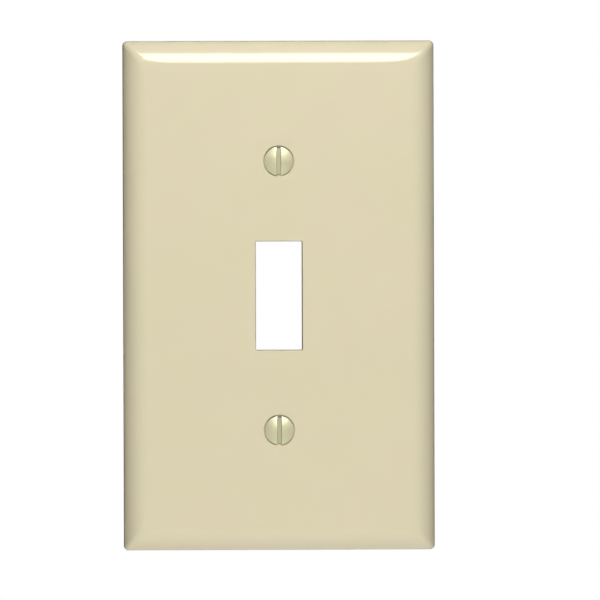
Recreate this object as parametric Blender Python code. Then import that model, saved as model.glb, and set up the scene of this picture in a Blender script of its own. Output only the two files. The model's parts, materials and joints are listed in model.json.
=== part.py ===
"""Toggle switch wall plate with its two mounting screws and the washers that keep them in.

Every piece is modelled face up: X is the plate's width, Y its height and Z points out of the wall, with
Z = 0 on the wall plane where the back of the rim rests. One empty then stands the assembly up, so that the
face looks along world -Y and the plate's height runs along world +Z. The world origin is the centre of the
plate on the wall plane. Lengths are in metres.
"""

import math

import bmesh
import bpy
from mathutils import Matrix

MM = 0.001
INCH = 25.4 * MM

# Plate: the standard one-gang size, 2 3/4 by 4 1/2 inches, with its screws 2 3/8 inches apart
PLATE_WIDTH = 2.75 * INCH
PLATE_HEIGHT = 4.5 * INCH
PLATE_DEPTH = 5.6 * MM
SCREW_SPACING = 2.375 * INCH

# Bevel round the face: an arc that starts level with the face and ends at the side wall. Its corners are
# wide where it leaves the face and tighten to the outline's small ones within a millimetre or two.
BEVEL_WIDTH = 5.35 * MM
BEVEL_DROP = 3.6 * MM
BEVEL_STEPS = 9
SIDE_DRAFT = 0.25 * MM
FACE_CORNER = 12.0 * MM
OUTLINE_CORNER = 1.1 * MM
CORNER_FADE = 0.6 * MM
CORNER_STEPS = 8

# Hollow back
FACE_THICKNESS = 2.2 * MM
RIM_THICKNESS = 1.8 * MM
RIM_DRAFT = 0.2 * MM
RIM_STRAIGHT = 1.5 * MM
RIM_CORNER = 1.5 * MM
COVE_WIDTH = 4.2 * MM
COVE_STEPS = 5

# Opening for the switch lever, and what stands up round it and round the screw holes
OPENING_WIDTH = 10.4 * MM
OPENING_HEIGHT = 24.4 * MM
SEAT_HEIGHT = 1.8 * MM
COLLAR_WALL = 2.1 * MM
BOSS_RADIUS = 4.75 * MM
RIB_HEIGHT = 2.0 * MM
RIB_WIDTH = 1.4 * MM
RIB_SPREAD = 3.3 * MM
RIB_END_INSET = 1.95 * MM
ROOT_OVERLAP = 0.4 * MM
HOLE_RADIUS = 2.0 * MM
SINK_RADIUS = 3.52 * MM
SINK_HALF_ANGLE = math.radians(41.0)

# Screw: 6-32 by 1/2 inch, slotted oval head
PITCH = INCH / 32
THREAD_MAJOR = 0.138 * INCH / 2
THREAD_MINOR = 1.265 * MM
NECK_RADIUS = 1.5 * MM
NECK_LENGTH = 0.7 * MM
SCREW_LENGTH = 0.5 * INCH
HEAD_RADIUS = 3.25 * MM
DOME_HEIGHT = 0.8 * MM
DOME_STEPS = 5
SLOT_WIDTH = 1.1 * MM
SLOT_DEPTH = 1.2 * MM
TIP_CHAMFER = 0.35 * MM
CREST_SHARE = 0.125
FLANK_SHARE = 0.354
SCREW_SEGMENTS = 24

# Washer that holds the screw in: it rides on the thread until it meets the boss
CAPTIVE_TURNS = 5.75
WASHER_GAP = 0.3 * MM
WASHER_RADIUS = 4.0 * MM
WASHER_HOLE = 1.9 * MM
WASHER_THICKNESS = 0.8 * MM

HOLE_SEGMENTS = 48
PAST = 2.0 * MM
WELD = 0.001 * MM

IVORY = (0.716, 0.651, 0.456, 1.0)
ENAMEL = (0.658, 0.610, 0.424, 1.0)
FIBRE = (0.235, 0.052, 0.030, 1.0)


def clear_scene():
    for obj in list(bpy.data.objects):
        bpy.data.objects.remove(obj)


def material(name, colour, roughness, metallic=0.0):
    made = bpy.data.materials.new(name)
    made.use_nodes = True
    shader = made.node_tree.nodes["Principled BSDF"]
    shader.inputs["Base Color"].default_value = colour
    shader.inputs["Roughness"].default_value = roughness
    shader.inputs["Metallic"].default_value = metallic
    return made


def add_object(name, bm, parent, surface=None):
    """Puts a finished bmesh into the scene, facing out, in its parent's frame."""
    bmesh.ops.recalc_face_normals(bm, faces=bm.faces)
    mesh = bpy.data.meshes.new(name)
    bm.to_mesh(mesh)
    bm.free()
    mesh.shade_smooth()
    mesh.set_sharp_from_angle(angle=math.radians(30))
    if surface:
        mesh.materials.append(surface)
    obj = bpy.data.objects.new(name, mesh)
    bpy.context.scene.collection.objects.link(obj)
    obj.parent = parent
    return obj


def add_empty(name, parent=None, location=(0.0, 0.0, 0.0), tilt=0.0):
    empty = bpy.data.objects.new(name, None)
    bpy.context.scene.collection.objects.link(empty)
    empty.parent = parent
    empty.location = location
    empty.rotation_euler = (tilt, 0.0, 0.0)
    return empty


def boolean(target, tool, operation):
    """Adds a Boolean whose tool is a helper that is left out of the model."""
    tool.hide_render = True
    tool.display_type = "WIRE"
    modifier = target.modifiers.new(f"{operation.lower()}_{tool.name}", "BOOLEAN")
    modifier.operation = operation
    modifier.object = tool
    modifier.solver = "EXACT"
    modifier.use_self = operation == "UNION"


def loft(bm, rings):
    """Joins rings of equally many points with faces, and caps the first and the last."""
    made = [[bm.verts.new(point) for point in ring] for ring in rings]
    for lower, upper in zip(made, made[1:]):
        for i, (a, b) in enumerate(zip(lower, upper)):
            following = (i + 1) % len(lower)
            bm.faces.new((a, lower[following], upper[following], b))
    bm.faces.new(made[0])
    bm.faces.new(made[-1])
    bmesh.ops.remove_doubles(bm, verts=bm.verts, dist=WELD)


def turn(bm, profile, segments, y=0.0):
    """Turns a line of (radius, z) points round an axis at height y on the plate; radius 0 is one point."""
    rings = []
    for radius, z in profile:
        angles = [math.tau * i / segments for i in range(segments if radius else 1)]
        rings.append([bm.verts.new((radius * math.cos(a), y + radius * math.sin(a), z)) for a in angles])
    for lower, upper in zip(rings, rings[1:]):
        for i in range(segments):
            following = i + 1
            corners = (
                lower[i % len(lower)],
                lower[following % len(lower)],
                upper[following % len(upper)],
                upper[i % len(upper)],
            )
            bm.faces.new(tuple(dict.fromkeys(corners)))


def block(bm, x_range, y_range, z_range):
    """A rectangular block between two values on each axis."""
    low, high = zip(x_range, y_range, z_range)
    size = [b - a for a, b in zip(low, high)]
    centre = [(a + b) / 2 for a, b in zip(low, high)]
    bmesh.ops.create_cube(bm, size=1.0, matrix=Matrix.Translation(centre) @ Matrix.Diagonal((*size, 1.0)))


def outline(half_width, half_height, corner, z):
    """A rectangle with round corners of one radius, as a ring of points."""
    points = []
    for quarter in range(4):
        centre_x = (half_width - corner) * (1 if quarter in (0, 3) else -1)
        centre_y = (half_height - corner) * (1 if quarter in (0, 1) else -1)
        for step in range(CORNER_STEPS + 1):
            angle = math.pi / 2 * (quarter + step / CORNER_STEPS)
            points.append((centre_x + corner * math.cos(angle), centre_y + corner * math.sin(angle), z))
    return points


def outer_rings():
    """The plate's outside from the wall plane to the face: drafted side wall, then the bevel's arc."""
    radius = (BEVEL_WIDTH**2 + BEVEL_DROP**2) / (2 * BEVEL_DROP)
    sweep = math.asin(BEVEL_WIDTH / radius)
    flat_x = PLATE_WIDTH / 2 - SIDE_DRAFT - BEVEL_WIDTH
    flat_y = PLATE_HEIGHT / 2 - SIDE_DRAFT - BEVEL_WIDTH
    sections = [(SIDE_DRAFT + BEVEL_WIDTH, 0.0)]
    for step in range(BEVEL_STEPS + 1):
        angle = sweep * (1 - step / BEVEL_STEPS)
        drop = radius * (1 - math.cos(angle))
        sections.append((radius * math.sin(angle), PLATE_DEPTH - drop))
    rings = []
    for reach, z in sections:
        corner = OUTLINE_CORNER + (FACE_CORNER - OUTLINE_CORNER) * math.exp(-reach / CORNER_FADE)
        rings.append(outline(flat_x + reach, flat_y + reach, corner, z))
    return rings


def inner_rings():
    """The hollow's inside from the wall plane to its floor: drafted rim, then a cove under the bevel."""
    floor = PLATE_DEPTH - FACE_THICKNESS
    cove_height = floor - RIM_STRAIGHT
    flat_x = PLATE_WIDTH / 2 - RIM_THICKNESS - RIM_DRAFT - COVE_WIDTH
    flat_y = PLATE_HEIGHT / 2 - RIM_THICKNESS - RIM_DRAFT - COVE_WIDTH
    sections = [(RIM_DRAFT + COVE_WIDTH, 0.0)]
    for step in range(COVE_STEPS + 1):
        angle = math.pi / 2 * step / COVE_STEPS
        reach = COVE_WIDTH * max(math.cos(angle), 0.0)
        sections.append((reach, RIM_STRAIGHT + cove_height * math.sin(angle)))
    return [outline(flat_x + reach, flat_y + reach, RIM_CORNER, z) for reach, z in sections]


def add_shell(parent, surface):
    """The bare plate: one skin that runs from the hollow's floor round the rim to the face."""
    bm = bmesh.new()
    loft(bm, inner_rings()[::-1] + outer_rings())
    return add_object("wallplate", bm, parent, surface)


def add_seats(plate, parent):
    """Bosses behind the screw holes, a collar round the opening and the ribs that tie them to the rim."""
    root = PLATE_DEPTH - FACE_THICKNESS + ROOT_OVERLAP
    collar_x = OPENING_WIDTH / 2 + COLLAR_WALL
    collar_y = OPENING_HEIGHT / 2 + COLLAR_WALL
    bm = bmesh.new()
    block(bm, (-collar_x, collar_x), (-collar_y, collar_y), (SEAT_HEIGHT, root))
    boss = [(0.0, SEAT_HEIGHT), (BOSS_RADIUS, SEAT_HEIGHT), (BOSS_RADIUS, root), (0.0, root)]
    for side in (1, -1):
        turn(bm, boss, HOLE_SEGMENTS, side * SCREW_SPACING / 2)
        rib_y = sorted((side * (collar_y - COLLAR_WALL / 2), side * (PLATE_HEIGHT / 2 - RIB_END_INSET)))
        for rib_x in (RIB_SPREAD, -RIB_SPREAD):
            block(bm, (rib_x - RIB_WIDTH / 2, rib_x + RIB_WIDTH / 2), rib_y, (RIB_HEIGHT, root))
    boolean(plate, add_object("seats", bm, parent), "UNION")


def cut_openings(plate, parent):
    """Cuts the lever opening and the two countersunk screw holes right through the plate."""
    half_x, half_y = OPENING_WIDTH / 2, OPENING_HEIGHT / 2
    top = PLATE_DEPTH + PAST
    sink_bottom = PLATE_DEPTH - (SINK_RADIUS - HOLE_RADIUS) / math.tan(SINK_HALF_ANGLE)
    hole = [
        (0.0, top),
        (SINK_RADIUS, top),
        (SINK_RADIUS, PLATE_DEPTH),
        (HOLE_RADIUS, sink_bottom),
        (HOLE_RADIUS, -PAST),
        (0.0, -PAST),
    ]
    bm = bmesh.new()
    block(bm, (-half_x, half_x), (-half_y, half_y), (-PAST, top))
    for side in (1, -1):
        turn(bm, hole, HOLE_SEGMENTS, side * SCREW_SPACING / 2)
    boolean(plate, add_object("openings_cutter", bm, parent), "DIFFERENCE")


def thread_columns(low, high):
    """Lines of points up the thread, one for each angle, each a step further up the helix than the last.

    Four points a turn mark the root's two edges and the crest's two edges. Points past an end are held
    on that end, and the crest sinks into the root over the last turn.
    """
    root_share = 1 - CREST_SHARE - 2 * FLANK_SHARE
    marks = (
        (0.0, THREAD_MINOR),
        (root_share, THREAD_MINOR),
        (root_share + FLANK_SHARE, THREAD_MAJOR),
        (root_share + FLANK_SHARE + CREST_SHARE, THREAD_MAJOR),
    )
    turns = math.ceil((high - low) / PITCH) + 2
    columns = []
    for column in range(SCREW_SEGMENTS):
        angle = math.tau * column / SCREW_SEGMENTS
        points = []
        for turn_number in range(turns + 1):
            for share, radius in marks:
                height = low + PITCH * (turn_number - 1 + share + column / SCREW_SEGMENTS)
                height = min(max(height, low), high)
                rise = min(1.0, (height - low) / PITCH, (high - height) / PITCH)
                radius_here = THREAD_MINOR + (radius - THREAD_MINOR) * rise
                points.append((radius_here * math.cos(angle), radius_here * math.sin(angle), height))
        columns.append(points)
    return columns, len(marks)


def add_thread(bm, low, high):
    """The thread's skin between two heights, where it ends in rings of the root radius."""
    columns, per_turn = thread_columns(low, high)
    made = [[bm.verts.new(point) for point in column] for column in columns]
    for number, column in enumerate(made):
        last = number == len(made) - 1
        beside = made[0][per_turn:] if last else made[number + 1]
        for a, b, c, d in zip(column, beside, beside[1:], column[1:]):
            bm.faces.new((a, b, c, d))


def head_profile(neck_bottom, rim):
    """From the thread's upper ring up the neck and the cone, over the rim and the dome to the axis."""
    cone_bottom = rim - (HEAD_RADIUS - NECK_RADIUS) / math.tan(SINK_HALF_ANGLE)
    radius = (HEAD_RADIUS**2 + DOME_HEIGHT**2) / (2 * DOME_HEIGHT)
    sweep = math.asin(HEAD_RADIUS / radius)
    profile = [(THREAD_MINOR, neck_bottom), (NECK_RADIUS, neck_bottom), (NECK_RADIUS, cone_bottom)]
    for step in range(DOME_STEPS + 1):
        angle = sweep * (1 - step / DOME_STEPS)
        profile.append((radius * math.sin(angle), rim + DOME_HEIGHT - radius * (1 - math.cos(angle))))
    return profile


def add_screw(name, axis, surface):
    """A slotted oval-head machine screw with its seat at the plate's face and its tip behind the wall plane."""
    rim, tip = PLATE_DEPTH, PLATE_DEPTH - SCREW_LENGTH
    neck_bottom = rim - (HEAD_RADIUS - NECK_RADIUS) / math.tan(SINK_HALF_ANGLE) - NECK_LENGTH
    bm = bmesh.new()
    turn(bm, [(0.0, tip), (THREAD_MINOR - TIP_CHAMFER, tip), (THREAD_MINOR, tip + TIP_CHAMFER)], SCREW_SEGMENTS)
    add_thread(bm, tip + TIP_CHAMFER, neck_bottom)
    turn(bm, head_profile(neck_bottom, rim), SCREW_SEGMENTS)
    bmesh.ops.remove_doubles(bm, verts=bm.verts, dist=WELD)
    screw = add_object(name, bm, axis, surface)
    top = rim + DOME_HEIGHT
    across, along = SLOT_WIDTH / 2, HEAD_RADIUS + PAST
    slot = bmesh.new()
    block(slot, (-across, across), (-along, along), (top - SLOT_DEPTH, top + PAST))
    boolean(screw, add_object(f"{name}_slot_cutter", slot, axis), "DIFFERENCE")


def add_washer(name, axis, surface):
    """The fibre washer on the thread, as far behind the boss as the screw can back out."""
    top = SEAT_HEIGHT - CAPTIVE_TURNS * PITCH - WASHER_GAP
    bottom = top - WASHER_THICKNESS
    corners = [(WASHER_HOLE, top), (WASHER_RADIUS, top), (WASHER_RADIUS, bottom), (WASHER_HOLE, bottom)]
    bm = bmesh.new()
    turn(bm, corners + corners[:1], HOLE_SEGMENTS)
    bmesh.ops.remove_doubles(bm, verts=bm.verts, dist=WELD)
    add_object(name, bm, axis, surface)


def build():
    clear_scene()
    ivory = material("ivory_thermoset", IVORY, roughness=0.22)
    enamel = material("ivory_enamel_screw", ENAMEL, roughness=0.35)
    fibre = material("red_fibre", FIBRE, roughness=0.7)
    wall = add_empty("wall_plane", tilt=math.pi / 2)
    plate = add_shell(wall, ivory)
    add_seats(plate, wall)
    cut_openings(plate, wall)
    for side, word in ((1, "upper"), (-1, "lower")):
        axis = add_empty(f"{word}_screw_axis", wall, (0.0, side * SCREW_SPACING / 2, 0.0))
        add_screw(f"{word}_screw", axis, enamel)
        add_washer(f"{word}_retaining_washer", axis, fibre)


build()
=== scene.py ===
"""Looks for the toggle switch wall plate: fine meshes, materials, studio light and camera.

Pieces are modelled face up, with X across the plate, Y up it and Z out of the wall, and STAND_UP turns them
into the part's own frame. Lengths are in metres.
"""

import json
import math

import bmesh
import bpy
from mathutils import Matrix, Vector


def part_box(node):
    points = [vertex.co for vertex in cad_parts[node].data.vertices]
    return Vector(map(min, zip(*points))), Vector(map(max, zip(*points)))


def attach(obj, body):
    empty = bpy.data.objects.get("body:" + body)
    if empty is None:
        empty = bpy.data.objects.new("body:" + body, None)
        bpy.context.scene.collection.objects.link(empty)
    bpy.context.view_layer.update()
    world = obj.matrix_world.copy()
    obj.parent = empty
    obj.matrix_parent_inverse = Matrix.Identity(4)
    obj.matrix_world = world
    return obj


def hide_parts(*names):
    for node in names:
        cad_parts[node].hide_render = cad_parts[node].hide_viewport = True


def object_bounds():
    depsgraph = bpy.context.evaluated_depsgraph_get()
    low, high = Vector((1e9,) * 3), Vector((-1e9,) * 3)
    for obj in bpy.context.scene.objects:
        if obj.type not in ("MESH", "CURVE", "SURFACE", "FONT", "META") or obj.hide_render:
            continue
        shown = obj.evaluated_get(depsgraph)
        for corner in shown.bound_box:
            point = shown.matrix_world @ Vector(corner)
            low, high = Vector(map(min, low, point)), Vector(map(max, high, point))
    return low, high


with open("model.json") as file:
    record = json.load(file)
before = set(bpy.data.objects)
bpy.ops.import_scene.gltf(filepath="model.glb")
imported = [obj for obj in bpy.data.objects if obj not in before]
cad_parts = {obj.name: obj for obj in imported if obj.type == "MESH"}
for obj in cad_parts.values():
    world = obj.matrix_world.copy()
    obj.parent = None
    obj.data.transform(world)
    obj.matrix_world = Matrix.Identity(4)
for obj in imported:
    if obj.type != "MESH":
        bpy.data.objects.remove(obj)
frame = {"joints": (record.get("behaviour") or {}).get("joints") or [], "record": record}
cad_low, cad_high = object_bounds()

MM = 0.001
STAND_UP = Matrix.Rotation(math.pi / 2, 4, "X")

# Plate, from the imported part's own boxes and joints
plate_low, plate_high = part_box("wallplate")
PLATE_WIDTH = plate_high.x - plate_low.x
PLATE_HEIGHT = plate_high.z - plate_low.z
PLATE_DEPTH = -plate_low.y
SCREWS = {
    joint["name"].removesuffix("_screw_turn"): joint["pos_m"][2]
    for joint in frame["joints"]
    if joint["type"] == "hinge"
}
TRAVEL_PER_RADIAN = 1 / frame["record"]["behaviour"]["couplings"][0]["ratio"]
PITCH = math.tau * TRAVEL_PER_RADIAN

# Bevel, side wall and corners
BEVEL_RADIUS = 5.77 * MM
BEVEL_END = math.radians(66)
BEVEL_STEPS = 26
FILLET_RADIUS = 0.5 * MM
FILLET_STEPS = 6
SIDE_ANGLE = math.radians(85.6)
EDGE_REACH = 5.6 * MM
WALL_EDGE = 0.12 * MM
FACE_CORNER = 12.0 * MM
OUTLINE_CORNER = 1.1 * MM
CORNER_FADE = 0.6 * MM
CORNER_STEPS = 20

# Hollow back
HOLLOW_DEPTH = 3.4 * MM
RIM_THICKNESS = 1.8 * MM
RIM_STRAIGHT = 1.5 * MM
RIM_DRAFT = 0.2 * MM
RIM_EDGE_DRAFT = 0.01 * MM
RIM_CORNER = 1.5 * MM
COVE_WIDTH = 4.2 * MM
COVE_STEPS = 14
SEAT_HEIGHT = 1.8 * MM
ROOT_OVERLAP = 0.4 * MM
COLLAR_WALL = 2.1 * MM
COLLAR_CORNER = 0.9 * MM
BOSS_RADIUS = 4.75 * MM
BOSS_DRAFT = 0.05 * MM
RIB_HEIGHT = 2.0 * MM
RIB_WIDTH = 1.4 * MM
RIB_SPREAD = 3.3 * MM
RIB_END_INSET = 1.95 * MM
RIB_CORNER = 0.3 * MM
SEAT_EDGE = 0.2 * MM
SEAT_DRAFT = 0.03
SEAT_CORNER_SHRINK = 0.9
EJECTOR_RADIUS = 2.0 * MM
EJECTOR_DEPTH = 0.06 * MM
EJECTOR_SPREAD_X = 0.29 * PLATE_WIDTH
EJECTOR_SPREAD_Y = 0.36 * PLATE_HEIGHT
EJECTOR_SEGMENTS = 48

# Lever opening and screw holes
OPENING_WIDTH = 10.4 * MM
OPENING_HEIGHT = 24.4 * MM
OPENING_DRAFT = 0.2 * MM
OPENING_CORNER = 0.2 * MM
OPENING_EDGE = 0.08 * MM
HOLE_RADIUS = 2.0 * MM
SINK_RADIUS = 3.52 * MM
SINK_LAND = 0.12 * MM
SINK_EDGE = 0.02 * MM
SINK_HALF_ANGLE = math.radians(41.0)
CUTTER_STEP = 0.5 * MM

# Screw
THREAD_MAJOR = 1.7526 * MM
THREAD_MINOR = 1.265 * MM
NECK_RADIUS = 1.5 * MM
NECK_LENGTH = 0.7 * MM
NECK_RAMP = 0.12 * MM
SCREW_LENGTH = 12.7 * MM
HEAD_RADIUS = 3.25 * MM
HEAD_RIM = 0.05 * MM
CONE_BOTTOM = PLATE_DEPTH - (HEAD_RADIUS - NECK_RADIUS) / math.tan(SINK_HALF_ANGLE)
DOME_HEIGHT = 0.8 * MM
DOME_SHARE = 0.985
DOME_STEPS = 14
SLOT_WIDTH = 1.18 * MM
SLOT_FLOOR = 0.84 * MM
SLOT_DEPTH = 1.2 * MM
SLOT_EDGE = 0.06 * MM
TIP_CHAMFER = 0.35 * MM
CREST_SHARE = 0.125
FLANK_SHARE = 0.354
SCREW_SEGMENTS = 64

# Washer
WASHER_HOLE = 1.9 * MM
WASHER_EDGE = 0.09 * MM

# Meshes: angles round a rounded edge, segments, how far cutters run past, merging and sharp edges
EDGE_ANGLES = [math.radians(degrees) for degrees in (0, 22.5, 45, 67.5, 90)]
ROUND_SEGMENTS = 96
PAST = 2.0 * MM
WELD = 0.0005 * MM
SHARP_ANGLE = math.radians(32)

# Studio
FLOOR_RADIUS = 1.4
FLOOR_THICKNESS = 0.01
FLOOR_EDGE_HEIGHT = 0.004
FLOOR_EDGE_INSET = 0.02
FLOOR_SEGMENTS = 128
FLOOR_DROP = 0.5


def arc(centre_reach, centre_z, radius, start, end, steps):
    """(reach, z) points of an arc; the angle is that of the outward normal from Z towards the outside."""
    angles = [start + (end - start) * i / steps for i in range(steps + 1)]
    return [(centre_reach + radius * math.sin(a), centre_z + radius * math.cos(a)) for a in angles]


def outline(half_width, half_height, corner, z):
    """A rectangle with round corners, as a ring of points."""
    points = []
    for quarter in range(4):
        sign_x = 1 if quarter in (0, 3) else -1
        sign_y = 1 if quarter in (0, 1) else -1
        for step in range(CORNER_STEPS + 1):
            angle = math.pi / 2 * (quarter + step / CORNER_STEPS)
            x = sign_x * (half_width - corner) + corner * math.cos(angle)
            y = sign_y * (half_height - corner) + corner * math.sin(angle)
            points.append((x, y, z))
    return points


def loft(bm, rings):
    """Joins rings of equally many points with faces, and caps the first and the last."""
    made = [[bm.verts.new(point) for point in ring] for ring in rings]
    for lower, upper in zip(made, made[1:]):
        for i, (a, b) in enumerate(zip(lower, upper)):
            following = (i + 1) % len(lower)
            bm.faces.new((a, lower[following], upper[following], b))
    bm.faces.new(made[0])
    bm.faces.new(made[-1])


def turn(bm, profile, segments, x=0.0, y=0.0):
    """Turns a line of (radius, z) points round an axis at (x, y) on the plate; radius 0 is one point."""
    rings = []
    for radius, z in profile:
        angles = [math.tau * i / segments for i in range(segments if radius else 1)]
        spots = [(x + radius * math.cos(a), y + radius * math.sin(a), z) for a in angles]
        rings.append([bm.verts.new(spot) for spot in spots])
    for lower, upper in zip(rings, rings[1:]):
        for i in range(segments):
            following = i + 1
            corners = (
                lower[i % len(lower)],
                lower[following % len(lower)],
                upper[following % len(upper)],
                upper[i % len(upper)],
            )
            bm.faces.new(tuple(dict.fromkeys(corners)))


def to_mesh(name, bm):
    bmesh.ops.recalc_face_normals(bm, faces=bm.faces)
    mesh = bpy.data.meshes.new(name)
    bm.to_mesh(mesh)
    bm.free()
    return mesh


def combined(mesh, bm, operation):
    """The mesh after an exact Boolean with a helper, which is removed again, and a weld."""
    subject = bpy.data.objects.new("subject", mesh)
    helper = bpy.data.objects.new("helper", to_mesh("helper", bm))
    for obj in (subject, helper):
        bpy.context.scene.collection.objects.link(obj)
    modifier = subject.modifiers.new("combine", "BOOLEAN")
    modifier.operation = operation
    modifier.object = helper
    modifier.solver = "EXACT"
    modifier.use_self = operation == "UNION"
    bpy.context.view_layer.update()
    made = bpy.data.meshes.new_from_object(subject.evaluated_get(bpy.context.evaluated_depsgraph_get()))
    made.name = mesh.name
    for obj in (subject, helper):
        bpy.data.objects.remove(obj)
    cleaned = bmesh.new()
    cleaned.from_mesh(made)
    bmesh.ops.remove_doubles(cleaned, verts=cleaned.verts, dist=WELD)
    bmesh.ops.dissolve_degenerate(cleaned, edges=cleaned.edges, dist=WELD)
    cleaned.to_mesh(made)
    cleaned.free()
    return made


def show(mesh, body, node, surface):
    """Stands a finished mesh up in the part's frame in place of its CAD node."""
    mesh.transform(STAND_UP)
    mesh.materials.clear()
    mesh.materials.append(surface)
    mesh.shade_smooth()
    mesh.set_sharp_from_angle(angle=SHARP_ANGLE)
    obj = bpy.data.objects.new(f"{node}_visual", mesh)
    bpy.context.scene.collection.objects.link(obj)
    weighting = obj.modifiers.new("even_shading", "WEIGHTED_NORMAL")
    weighting.keep_sharp = True
    weighting.weight = 80
    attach(obj, body)
    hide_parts(node)


# Plate


def outer_sections():
    """(reach, z) from the wall plane up the side wall, round the fillet and along the bevel to the face."""
    bevel = arc(0.0, PLATE_DEPTH - BEVEL_RADIUS, BEVEL_RADIUS, 0.0, BEVEL_END, BEVEL_STEPS)
    end_reach, end_z = bevel[-1]
    centre_reach = end_reach - FILLET_RADIUS * math.sin(BEVEL_END)
    centre_z = end_z - FILLET_RADIUS * math.cos(BEVEL_END)
    fillet = arc(centre_reach, centre_z, FILLET_RADIUS, BEVEL_END, SIDE_ANGLE, FILLET_STEPS)
    top_reach, top_z = fillet[-1]
    wall_reach = top_reach + top_z / math.tan(SIDE_ANGLE)
    edge_reach = wall_reach - WALL_EDGE / math.tan(SIDE_ANGLE)
    line = bevel + fillet[1:] + [(edge_reach, WALL_EDGE), (wall_reach - WALL_EDGE, 0.0)]
    fit = EDGE_REACH / edge_reach
    return [(reach * fit, z) for reach, z in line][::-1]


def outer_rings():
    """The plate's outside, whose corners are wide at the face and tighten towards the outline."""
    flat_x, flat_y = PLATE_WIDTH / 2 - EDGE_REACH, PLATE_HEIGHT / 2 - EDGE_REACH
    rings = []
    for reach, z in outer_sections():
        corner = OUTLINE_CORNER + (FACE_CORNER - OUTLINE_CORNER) * math.exp(-reach / CORNER_FADE)
        rings.append(outline(flat_x + reach, flat_y + reach, corner, z))
    return rings


def inner_rings():
    """The hollow's inside from the wall plane to its floor: drafted rim, then a cove under the bevel."""
    wall_reach = COVE_WIDTH + RIM_DRAFT
    flat_x = PLATE_WIDTH / 2 - RIM_THICKNESS - wall_reach
    flat_y = PLATE_HEIGHT / 2 - RIM_THICKNESS - wall_reach
    sections = [(wall_reach + WALL_EDGE, 0.0), (wall_reach - RIM_EDGE_DRAFT, WALL_EDGE)]
    for step in range(COVE_STEPS + 1):
        angle = math.pi / 2 * step / COVE_STEPS
        height = RIM_STRAIGHT + (HOLLOW_DEPTH - RIM_STRAIGHT) * math.sin(angle)
        sections.append((COVE_WIDTH * math.cos(angle), height))
    return [outline(flat_x + reach, flat_y + reach, RIM_CORNER, z) for reach, z in sections]


def seat_edge():
    """(inset, rise) points round a seat's rounded edge, from its flat end to its side."""
    return [(SEAT_EDGE * (1 - math.sin(a)), SEAT_EDGE * (1 - math.cos(a))) for a in EDGE_ANGLES]


def rounded_block(bm, x_range, y_range, bottom, top, corner):
    """A block with round corners and a rounded edge round its bottom, which is the end that shows."""
    centre_x, centre_y = sum(x_range) / 2, sum(y_range) / 2
    half_x, half_y = (x_range[1] - x_range[0]) / 2, (y_range[1] - y_range[0]) / 2
    sections = [(inset, bottom + rise) for inset, rise in seat_edge()]
    sections.append((-SEAT_DRAFT * (top - bottom), top))
    rings = []
    for inset, height in sections:
        ring_corner = corner - SEAT_CORNER_SHRINK * max(inset, 0.0)
        ring = outline(half_x - inset, half_y - inset, ring_corner, height)
        rings.append([(x + centre_x, y + centre_y, z) for x, y, z in ring])
    loft(bm, rings)


def seats():
    """Bosses behind the screw holes, the collar round the opening and the ribs between them and the rim."""
    root = HOLLOW_DEPTH + ROOT_OVERLAP
    collar_x = OPENING_WIDTH / 2 + COLLAR_WALL
    collar_y = OPENING_HEIGHT / 2 + COLLAR_WALL
    bm = bmesh.new()
    rounded_block(bm, (-collar_x, collar_x), (-collar_y, collar_y), SEAT_HEIGHT, root, COLLAR_CORNER)
    rounding = [(BOSS_RADIUS - inset, SEAT_HEIGHT + rise) for inset, rise in seat_edge()]
    boss = [(0.0, SEAT_HEIGHT), *rounding, (BOSS_RADIUS + BOSS_DRAFT, root), (0.0, root)]
    for y in SCREWS.values():
        side = math.copysign(1, y)
        turn(bm, boss, ROUND_SEGMENTS, y=y)
        rib_y = sorted((side * (collar_y - COLLAR_WALL / 2), side * (PLATE_HEIGHT / 2 - RIB_END_INSET)))
        for rib_x in (RIB_SPREAD, -RIB_SPREAD):
            rib_sides = (rib_x - RIB_WIDTH / 2, rib_x + RIB_WIDTH / 2)
            rounded_block(bm, rib_sides, rib_y, RIB_HEIGHT, root, RIB_CORNER)
    return bm


def opening_sections():
    """(growth, z) of the lever opening's cutter: it widens towards the face, whose edge is rounded over."""
    wall_top = PLATE_DEPTH - OPENING_EDGE
    sections = [(-OPENING_DRAFT / 2, SEAT_HEIGHT / 2), (OPENING_DRAFT / 2, wall_top)]
    for angle in EDGE_ANGLES[1:]:
        growth = OPENING_DRAFT / 2 + OPENING_EDGE * (1 - math.cos(angle))
        sections.append((growth, PLATE_DEPTH - OPENING_EDGE * (1 - math.sin(angle))))
    clear = OPENING_EDGE + PAST
    return [*sections, (clear, PLATE_DEPTH + CUTTER_STEP), (clear, PLATE_DEPTH + PAST)]


def hole_profile():
    """(radius, z) of a screw hole's cutter: through hole, countersink, land and the face's rounded edge."""
    top = PLATE_DEPTH + PAST
    land_bottom = PLATE_DEPTH - SINK_LAND
    sink_bottom = land_bottom - (SINK_RADIUS - HOLE_RADIUS) / math.tan(SINK_HALF_ANGLE)
    rounding = []
    for degrees in (0, 30, 60, 90):
        angle = math.radians(degrees)
        radius = SINK_RADIUS + SINK_EDGE * (1 - math.sin(angle))
        rounding.append((radius, PLATE_DEPTH - SINK_EDGE * (1 - math.cos(angle))))
    return [
        (0.0, top),
        (SINK_RADIUS + PAST, top),
        (SINK_RADIUS + PAST, PLATE_DEPTH + CUTTER_STEP),
        *rounding,
        (SINK_RADIUS, land_bottom),
        (HOLE_RADIUS, sink_bottom),
        (HOLE_RADIUS, -PAST),
        (0.0, -PAST),
    ]


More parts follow.
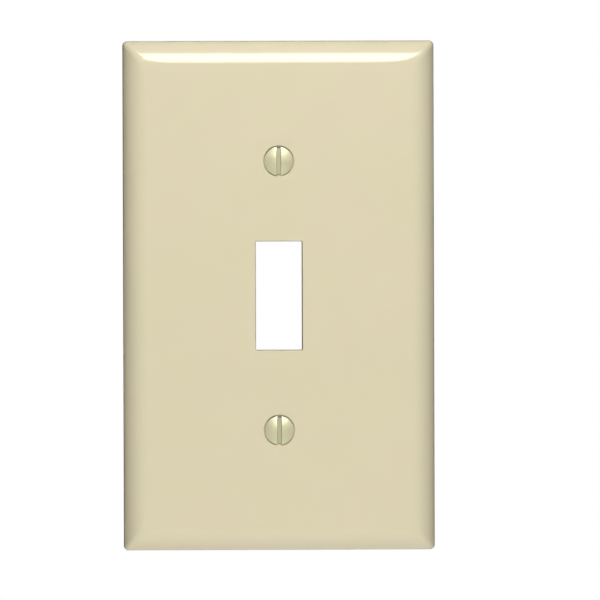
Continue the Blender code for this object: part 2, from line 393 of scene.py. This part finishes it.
def cutters():
    """The lever opening, the screw holes and the shallow marks that ejector pins leave in the hollow."""
    bm = bmesh.new()
    half_x, half_y = OPENING_WIDTH / 2, OPENING_HEIGHT / 2
    loft(bm, [outline(half_x + g, half_y + g, OPENING_CORNER + g, z) for g, z in opening_sections()])
    for y in SCREWS.values():
        turn(bm, hole_profile(), ROUND_SEGMENTS, y=y)
    mark_top = HOLLOW_DEPTH + EJECTOR_DEPTH
    mark = [(0.0, PAST), (EJECTOR_RADIUS, PAST), (EJECTOR_RADIUS, mark_top), (0.0, mark_top)]
    for x in (-1, 1):
        for y in (-1, 0, 1):
            turn(bm, mark, EJECTOR_SEGMENTS, x * EJECTOR_SPREAD_X, y * EJECTOR_SPREAD_Y)
    return bm


def plate_mesh():
    bm = bmesh.new()
    loft(bm, inner_rings()[::-1] + outer_rings())
    mesh = combined(to_mesh("wallplate_visual", bm), seats(), "UNION")
    return combined(mesh, cutters(), "DIFFERENCE")


# Screws and washers


def thread_columns(low, high):
    """Lines of points up the thread, one for each angle, each a step further up the helix than the last."""
    root_share = 1 - CREST_SHARE - 2 * FLANK_SHARE
    marks = (
        (0.0, THREAD_MINOR),
        (root_share, THREAD_MINOR),
        (root_share + FLANK_SHARE / 2, (THREAD_MINOR + THREAD_MAJOR) / 2),
        (root_share + FLANK_SHARE, THREAD_MAJOR),
        (root_share + FLANK_SHARE + CREST_SHARE, THREAD_MAJOR),
        (1 - FLANK_SHARE / 2, (THREAD_MINOR + THREAD_MAJOR) / 2),
    )
    turns = math.ceil((high - low) / PITCH) + 2
    columns = []
    for column in range(SCREW_SEGMENTS):
        angle = math.tau * column / SCREW_SEGMENTS
        points = []
        for turn_number in range(turns + 1):
            for share, radius in marks:
                height = low + PITCH * (turn_number - 1 + share + column / SCREW_SEGMENTS)
                height = min(max(height, low), high)
                rise = min(1.0, (height - low) / PITCH, (high - height) / PITCH)
                radius_here = THREAD_MINOR + (radius - THREAD_MINOR) * rise
                points.append((radius_here * math.cos(angle), radius_here * math.sin(angle), height))
        columns.append(points)
    return columns, len(marks)


def add_thread(bm, low, high):
    """The thread's skin between two heights, where it ends in rings of the root radius."""
    columns, per_turn = thread_columns(low, high)
    made = [[bm.verts.new(point) for point in column] for column in columns]
    for number, column in enumerate(made):
        last = number == len(made) - 1
        beside = made[0][per_turn:] if last else made[number + 1]
        for a, b, c, d in zip(column, beside, beside[1:], column[1:]):
            bm.faces.new((a, b, c, d))


def head_profile(neck_bottom):
    """From the thread's upper ring up the neck and the cone, round the rim and over the dome."""
    rim = PLATE_DEPTH
    radius = (HEAD_RADIUS**2 + DOME_HEIGHT**2) / (2 * DOME_HEIGHT)
    sweep = math.asin(HEAD_RADIUS / radius)
    profile = [
        (THREAD_MINOR, neck_bottom),
        (NECK_RADIUS, neck_bottom + NECK_RAMP),
        (NECK_RADIUS, CONE_BOTTOM),
        (HEAD_RADIUS - HEAD_RIM, rim - HEAD_RIM / math.tan(SINK_HALF_ANGLE)),
    ]
    for step in range(DOME_STEPS + 1):
        angle = sweep * DOME_SHARE * (1 - step / DOME_STEPS)
        profile.append((radius * math.sin(angle), rim + DOME_HEIGHT - radius * (1 - math.cos(angle))))
    return profile


def screw_mesh():
    """A slotted oval-head machine screw on the Z axis."""
    tip = PLATE_DEPTH - SCREW_LENGTH
    thread_start = tip + TIP_CHAMFER
    neck_bottom = CONE_BOTTOM - NECK_LENGTH
    bm = bmesh.new()
    tip_profile = [(0.0, tip), (THREAD_MINOR - TIP_CHAMFER, tip), (THREAD_MINOR, thread_start)]
    turn(bm, tip_profile, SCREW_SEGMENTS)
    add_thread(bm, thread_start, neck_bottom)
    turn(bm, head_profile(neck_bottom), SCREW_SEGMENTS)
    bmesh.ops.remove_doubles(bm, verts=bm.verts, dist=WELD)
    slot = bmesh.new()
    floor = PLATE_DEPTH + DOME_HEIGHT - SLOT_DEPTH
    widening = (SLOT_WIDTH - SLOT_FLOOR) / 2 / SLOT_DEPTH
    rings = [(SLOT_FLOOR / 2 - SLOT_EDGE, floor), (SLOT_FLOOR / 2, floor + SLOT_EDGE)]
    rings.append((SLOT_FLOOR / 2 + widening * (SLOT_DEPTH + PAST), floor + SLOT_DEPTH + PAST))
    loft(slot, [outline(x, HEAD_RADIUS + PAST, 0.1 * SLOT_EDGE, z) for x, z in rings])
    return combined(to_mesh("screw", bm), slot, "DIFFERENCE")


def washer_mesh(node):
    """A flat ring on the Z axis with all its edges rounded, at the heights of its CAD node."""
    low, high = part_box(node)
    bottom, top, outer = -high.y, -low.y, (high.x - low.x) / 2
    ring = []
    for radius, z, start in (
        (outer - WASHER_EDGE, top - WASHER_EDGE, 90),
        (outer - WASHER_EDGE, bottom + WASHER_EDGE, 0),
        (WASHER_HOLE + WASHER_EDGE, bottom + WASHER_EDGE, -90),
        (WASHER_HOLE + WASHER_EDGE, top - WASHER_EDGE, -180),
    ):
        for degrees in (0, -30, -60, -90):
            angle = math.radians(start + degrees)
            ring.append((radius + WASHER_EDGE * math.cos(angle), z + WASHER_EDGE * math.sin(angle)))
    bm = bmesh.new()
    turn(bm, ring + ring[:1], ROUND_SEGMENTS)
    bmesh.ops.remove_doubles(bm, verts=bm.verts, dist=WELD)
    return to_mesh(node, bm)


# Materials


def new_material(name):
    made = bpy.data.materials.new(name)
    made.use_nodes = True
    tree = made.node_tree
    return made, tree, tree.nodes["Principled BSDF"]


def noise(tree, scale, detail=2.0, squeeze=(1.0, 1.0, 1.0)):
    """Noise in the object's own coordinates; scale is in features a metre."""
    place = tree.nodes.new("ShaderNodeTexCoord")
    mapping = tree.nodes.new("ShaderNodeMapping")
    mapping.inputs["Scale"].default_value = squeeze
    texture = tree.nodes.new("ShaderNodeTexNoise")
    texture.inputs["Scale"].default_value = scale
    texture.inputs["Detail"].default_value = detail
    tree.links.new(place.outputs["Object"], mapping.inputs["Vector"])
    tree.links.new(mapping.outputs["Vector"], texture.inputs["Vector"])
    return texture.outputs["Fac"]


def spread(tree, value, low, high, from_low=0.3, from_high=0.7):
    """A value mapped on to a range; unless told otherwise, it comes from a noise's middle values."""
    node = tree.nodes.new("ShaderNodeMapRange")
    node.inputs["From Min"].default_value = from_low
    node.inputs["From Max"].default_value = from_high
    node.inputs["To Min"].default_value = low
    node.inputs["To Max"].default_value = high
    tree.links.new(value, node.inputs["Value"])
    return node.outputs["Result"]


def blend(tree, factor, first, second):
    """A colour between two, each a tuple or another node's output."""
    node = tree.nodes.new("ShaderNodeMix")
    node.data_type = "RGBA"
    tree.links.new(factor, node.inputs["Factor"])
    for socket, colour in (("A", first), ("B", second)):
        target = next(i for i in node.inputs if i.name == socket and i.type == "RGBA")
        if isinstance(colour, tuple):
            target.default_value = (*colour, 1.0)
        else:
            tree.links.new(colour, target)
    return next(o for o in node.outputs if o.type == "RGBA")


def bump(tree, shader, height, strength, distance, after=None):
    """Adds a fine relief to the shader, on top of an earlier one if there is one."""
    node = tree.nodes.new("ShaderNodeBump")
    node.inputs["Strength"].default_value = strength
    node.inputs["Distance"].default_value = distance
    tree.links.new(height, node.inputs["Height"])
    if after:
        tree.links.new(after, node.inputs["Normal"])
    tree.links.new(node.outputs["Normal"], shader.inputs["Normal"])
    return node.outputs["Normal"]


def ivory_thermoset():
    """Glossy moulded urea: cloudy tint, a gently uneven skin and a trace of orange peel."""
    made, tree, shader = new_material("ivory_thermoset")
    cloud = spread(tree, noise(tree, 55.0, 3.0), 0.0, 1.0)
    blush = spread(tree, noise(tree, 120.0, 2.0), 0.0, 0.5)
    base = blend(tree, cloud, (0.735, 0.668, 0.462), (0.752, 0.672, 0.480))
    tree.links.new(blend(tree, blush, base, (0.742, 0.682, 0.462)), shader.inputs["Base Color"])
    tree.links.new(spread(tree, noise(tree, 400.0), 0.13, 0.19), shader.inputs["Roughness"])
    shader.inputs["IOR"].default_value = 1.55
    skin = bump(tree, shader, noise(tree, 90.0, 1.0), 0.04, 0.0004)
    bump(tree, shader, noise(tree, 2600.0, 1.0), 0.05, 0.00001, after=skin)
    return made


def height_mask(tree, zero_height, one_height, wander):
    """0 at one height out of the wall and 1 at another, with an edge that wanders up and down."""
    place = tree.nodes.new("ShaderNodeTexCoord")
    split = tree.nodes.new("ShaderNodeSeparateXYZ")
    tree.links.new(place.outputs["Object"], split.inputs["Vector"])
    ragged = tree.nodes.new("ShaderNodeMath")
    ragged.operation = "MULTIPLY_ADD"
    tree.links.new(noise(tree, 1500.0, 3.0), ragged.inputs[0])
    ragged.inputs[1].default_value = wander
    tree.links.new(split.outputs["Y"], ragged.inputs[2])
    middle = wander / 2
    return spread(tree, ragged.outputs["Value"], 0.0, 1.0, middle - zero_height, middle - one_height)


def painted_screw():
    """Ivory enamel with painted shade in the slot and on the head below the face, paint that ends on the
    cone, and zinc plate on the neck and thread.
    """
    made, tree, shader = new_material("ivory_enamel_screw")
    paint = height_mask(tree, PLATE_DEPTH - 1.9 * MM, PLATE_DEPTH - 1.2 * MM, 0.6 * MM)
    # Painted shade mask: 1 in the slot and on the head below the plate's face, where shade falls, 0 on the
    # dome.
    slot_painted_shade = height_mask(tree, PLATE_DEPTH - 0.1 * MM, PLATE_DEPTH - 0.38 * MM, 0.06 * MM)
    cloud = spread(tree, noise(tree, 500.0, 3.0), 0.0, 1.0)
    enamel = blend(tree, cloud, (0.730, 0.700, 0.440), (0.780, 0.740, 0.470))
    # Painted shade: the enamel is darkened in the slot and on the head below the face, standing in for the
    # shade there.
    enamel = blend(tree, slot_painted_shade, enamel, (0.545, 0.532, 0.354))
    dulled = spread(tree, noise(tree, 900.0, 3.0), 0.0, 1.0)
    plating = blend(tree, dulled, (0.62, 0.60, 0.52), (0.74, 0.73, 0.68))
    tree.links.new(blend(tree, paint, plating, enamel), shader.inputs["Base Color"])
    tree.links.new(spread(tree, paint, 1.0, 0.3, 0.0, 1.0), shader.inputs["Metallic"])
    tree.links.new(spread(tree, noise(tree, 1200.0, 2.0), 0.42, 0.5), shader.inputs["Roughness"])
    shader.inputs["IOR"].default_value = 1.5
    shader.inputs["Coat Weight"].default_value = 1.0
    shader.inputs["Coat Roughness"].default_value = 0.16
    brushed = bump(tree, shader, noise(tree, 1400.0, 2.0, squeeze=(2.2, 1.0, 0.12)), 0.05, 0.00002)
    bump(tree, shader, noise(tree, 4000.0, 2.0), 0.06, 0.00001, after=brushed)
    return made


def red_fibre():
    """Vulcanised fibre: a dull red sheet with paler strands and a soft grain."""
    made, tree, shader = new_material("red_fibre")
    strands = spread(tree, noise(tree, 700.0, 4.0, squeeze=(1.0, 4.0, 0.35)), 0.0, 1.0)
    patches = spread(tree, noise(tree, 260.0, 2.0), 0.0, 0.6)
    base = blend(tree, strands, (0.190, 0.040, 0.024), (0.300, 0.075, 0.044))
    tree.links.new(blend(tree, patches, base, (0.225, 0.060, 0.040)), shader.inputs["Base Color"])
    tree.links.new(spread(tree, noise(tree, 1500.0), 0.55, 0.8), shader.inputs["Roughness"])
    bump(tree, shader, noise(tree, 3000.0, 3.0, squeeze=(1.0, 4.0, 0.5)), 0.3, 0.00004)
    return made


def pale_floor():
    """Matt and pale; the glow that only the camera sees stands in for the light of a bigger studio."""
    made, tree, shader = new_material("pale_floor")
    tone = spread(tree, noise(tree, 3.0, 2.0), 0.0, 1.0)
    tree.links.new(blend(tree, tone, (0.80, 0.80, 0.79), (0.84, 0.84, 0.83)), shader.inputs["Base Color"])
    shader.inputs["Roughness"].default_value = 0.7
    shader.inputs["Emission Color"].default_value = (1.0, 1.0, 1.0, 1.0)
    path = tree.nodes.new("ShaderNodeLightPath")
    glow = spread(tree, path.outputs["Is Camera Ray"], 0.0, 0.45, 0.0, 1.0)
    tree.links.new(glow, shader.inputs["Emission Strength"])
    return made


# Studio


def build_floor():
    """A round pale floor under the part, too small to reach into the straight-on view."""
    bm = bmesh.new()
    profile = [
        (0.0, -FLOOR_THICKNESS),
        (FLOOR_RADIUS - FLOOR_EDGE_INSET, -FLOOR_THICKNESS),
        (FLOOR_RADIUS, -FLOOR_EDGE_HEIGHT),
        (FLOOR_RADIUS, 0.0),
        (0.0, 0.0),
    ]
    turn(bm, profile, FLOOR_SEGMENTS)
    mesh = to_mesh("floor", bm)
    mesh.materials.append(pale_floor())
    floor = bpy.data.objects.new("floor", mesh)
    bpy.context.scene.collection.objects.link(floor)
    floor.location = (0.0, 0.0, cad_low.z - FLOOR_DROP)


def direction(azimuth, elevation):
    """Unit vector from the part towards a place round it: azimuth 0 is in front of it, 90 to its right."""
    a, e = math.radians(azimuth), math.radians(elevation)
    return Vector((math.sin(a) * math.cos(e), -math.cos(a) * math.cos(e), math.sin(e)))


def panel(name, place, tilt, turned, size, radiance, glossy=True, diffuse=True):
    """A rectangular light, facing down before it is tilted about X and turned about Z, in degrees."""
    data = bpy.data.lights.new(name, "AREA")
    data.shape = "RECTANGLE"
    data.size, data.size_y = size
    data.energy = math.pi * size[0] * size[1] * radiance
    lamp = bpy.data.objects.new(name, data)
    bpy.context.scene.collection.objects.link(lamp)
    lamp.location = place
    lamp.rotation_euler = (math.radians(tilt), 0.0, math.radians(turned))
    lamp.visible_camera = False
    lamp.visible_glossy = glossy
    lamp.visible_diffuse = diffuse


def build_lights():
    """Each panel's place in metres, tilt, turn, size and radiance; glossy=False keeps it out of reflections
    and diffuse=False leaves it in nothing but reflections."""
    panel("overhead_softbox", (-0.011, -0.675, 0.3685), 4, -8, (0.275, 0.852), 8.9)
    panel("near_fill", (0.0, -0.2, 0.3), 34, 0, (0.12, 0.12), 3.7, glossy=False)
    panel("ceiling_bounce", (0.0, -0.1, 0.6), 0, 0, (0.6, 0.8), 0.2)
    panel("front_fill", (-0.3, -1.8, 0.35), 79, -9, (0.6, 0.5), 0.2, glossy=False)
    panel("low_reflector", (0.01, -0.14, -0.36), 159, 0, (0.25, 0.2), 3.65, glossy=False)
    panel("right_strip", (0.377, -0.654, 0.49), 57, 30, (0.12, 0.3), 5.5, diffuse=False)
    panel("back_fill", (0.0, 1.2, 0.45), -69, 0, (0.9, 0.9), 4.5, glossy=False)
    panel("back_softbox", (0.0, 1.2, 0.45), -69, 0, (0.22, 0.9), 4.0, diffuse=False)


def build_world():
    """White behind everything that the camera sees, and a dim room for light and reflections."""
    world = bpy.data.worlds.new("studio")
    world.use_nodes = True
    bpy.context.scene.world = world
    tree = world.node_tree
    shown = tree.nodes["Background"]
    shown.inputs["Color"].default_value = (1.0, 1.0, 1.0, 1.0)
    room = tree.nodes.new("ShaderNodeBackground")
    room.inputs["Color"].default_value = (0.05, 0.05, 0.05, 1.0)
    path = tree.nodes.new("ShaderNodeLightPath")
    either = tree.nodes.new("ShaderNodeMixShader")
    tree.links.new(path.outputs["Is Camera Ray"], either.inputs["Fac"])
    tree.links.new(room.outputs["Background"], either.inputs[1])
    tree.links.new(shown.outputs["Background"], either.inputs[2])
    tree.links.new(either.outputs["Shader"], tree.nodes["World Output"].inputs["Surface"])


def build_camera():
    """A long lens, a little to the left of the plate and a little above its middle."""
    data = bpy.data.cameras.new("camera")
    data.sensor_width = 36.0
    distance, seen = 2.4, 0.13475
    data.lens = data.sensor_width * distance / seen
    data.clip_start, data.clip_end = 0.1, 20.0
    camera = bpy.data.objects.new("camera", data)
    bpy.context.scene.collection.objects.link(camera)
    toward = direction(-1.2, 0.9)
    target = Vector((0.0048, 0.0, -0.00105))
    camera.location = target + toward * distance
    camera.rotation_mode = "QUATERNION"
    aim = toward.to_track_quat("Z", "Y")
    roll = Matrix.Rotation(math.radians(-0.17), 4, toward).to_quaternion()
    camera.rotation_quaternion = roll @ aim
    bpy.context.scene.camera = camera


def build():
    bpy.context.scene.view_settings.view_transform = "Standard"
    plate_surface, screw_surface, washer_surface = ivory_thermoset(), painted_screw(), red_fibre()
    show(plate_mesh(), "plate", "wallplate", plate_surface)
    for word, height in SCREWS.items():
        lift = Matrix.Translation((0.0, height, 0.0))
        screw = screw_mesh()
        screw.transform(lift)
        show(screw, f"{word}_screw_body", f"{word}_screw", screw_surface)
        node = f"{word}_retaining_washer"
        washer = washer_mesh(node)
        washer.transform(lift)
        show(washer, f"{word}_washer_body", node, washer_surface)
    build_floor()
    build_lights()
    build_world()
    build_camera()


build()
